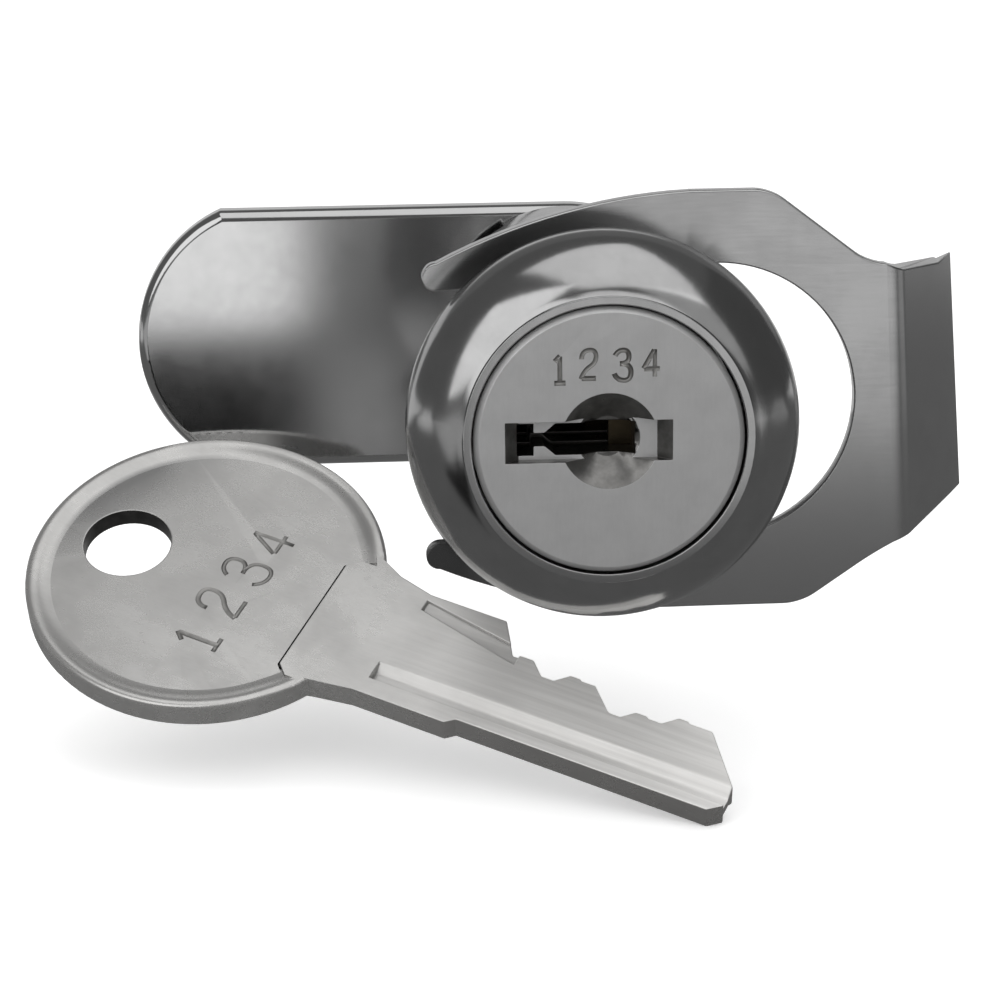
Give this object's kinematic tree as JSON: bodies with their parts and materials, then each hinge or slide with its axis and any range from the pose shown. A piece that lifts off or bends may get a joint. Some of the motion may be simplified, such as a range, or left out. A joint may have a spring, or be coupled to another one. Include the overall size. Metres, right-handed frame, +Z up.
{
  "type": "enclosure lock",
  "caption": "Keyed wafer cam lock with a domed round head, turning cam, sprung horseshoe clip that holds it in a panel hole, and its flat key",
  "frame": {"origin": "centre of the head's back face, where it seats on the panel's outside, on the plug's axis", "axes": "-Y points out of the door to the user, +Y runs back along the body and the plug's axis, +Z is up, and the cam points to -X when locked"},
  "size_m": [0.0646, 0.0403, 0.0407],
  "materials": {
    "polished_head": "nickel plated and polished zinc casting",
    "plug_face": "satin nickel plated",
    "plated_cam": "nickel plated pressed steel",
    "spring_steel": "plated spring steel sheet",
    "key_metal": "nickel plated brass, worn",
    "wafer_brass": "plain pressed brass",
    "spring_wire": "bright wire",
    "zinc_hardware": "zinc plated"
  },
  "bodies": {
    "housing": {"lock_housing": "polished_head"},
    "plug": {"plug": "plug_face", "stop_washer": "zinc_hardware", "cam": "plated_cam", "lock_washer": "zinc_hardware", "cam_nut": "zinc_hardware", "wafer_spring_1": "spring_wire", "wafer_spring_2": "spring_wire", "wafer_spring_3": "spring_wire", "wafer_spring_4": "spring_wire", "wafer_spring_5": "spring_wire", "retainer_spring": "spring_wire"},
    "wafer_1": {"wafer_1": "wafer_brass"},
    "wafer_2": {"wafer_2": "wafer_brass"},
    "wafer_3": {"wafer_3": "wafer_brass"},
    "wafer_4": {"wafer_4": "wafer_brass"},
    "wafer_5": {"wafer_5": "wafer_brass"},
    "retainer": {"retainer_wafer": "wafer_brass"},
    "clip": {"mounting_clip": "spring_steel"},
    "key": {"key": "key_metal"}
  },
  "joints": [
    {"name": "plug_turn", "type": "hinge", "parent": "housing", "child": "plug", "pos_m": [0, 0, 0], "axis": [0, 1, 0], "range_deg": [0, 90]},
    {"name": "wafer_1_slide", "type": "slide", "parent": "plug", "child": "wafer_1", "axis": [-1, 0, 0], "range_m": [-0.0007, 0.0007], "stiffness_N_per_m": 50, "springref_m": 0.003, "deforming": ["wafer_spring_1"]},
    {"name": "wafer_2_slide", "type": "slide", "parent": "plug", "child": "wafer_2", "axis": [-1, 0, 0], "range_m": [-0.0007, 0.0007], "stiffness_N_per_m": 50, "springref_m": 0.003, "deforming": ["wafer_spring_2"]},
    {"name": "wafer_3_slide", "type": "slide", "parent": "plug", "child": "wafer_3", "axis": [-1, 0, 0], "range_m": [-0.0007, 0.0007], "stiffness_N_per_m": 50, "springref_m": 0.003, "deforming": ["wafer_spring_3"]},
    {"name": "wafer_4_slide", "type": "slide", "parent": "plug", "child": "wafer_4", "axis": [-1, 0, 0], "range_m": [-0.0007, 0.0007], "stiffness_N_per_m": 50, "springref_m": 0.003, "deforming": ["wafer_spring_4"]},
    {"name": "wafer_5_slide", "type": "slide", "parent": "plug", "child": "wafer_5", "axis": [-1, 0, 0], "range_m": [-0.0007, 0.0007], "stiffness_N_per_m": 50, "springref_m": 0.003, "deforming": ["wafer_spring_5"]},
    {"name": "retainer_slide", "type": "slide", "parent": "plug", "child": "retainer", "axis": [-1, 0, 0], "range_m": [-0.0006, 0], "stiffness_N_per_m": 50, "springref_m": 0.003, "deforming": ["retainer_spring"]},
    {"name": "clip_slide", "type": "slide", "parent": "housing", "child": "clip", "axis": [1, 0, 0], "range_m": [-0.008, 0.025]},
    {"name": "key_slide", "type": "slide", "parent": "housing", "child": "key", "axis": [0, -1, 0], "range_m": [0, 0.06]}
  ]
}
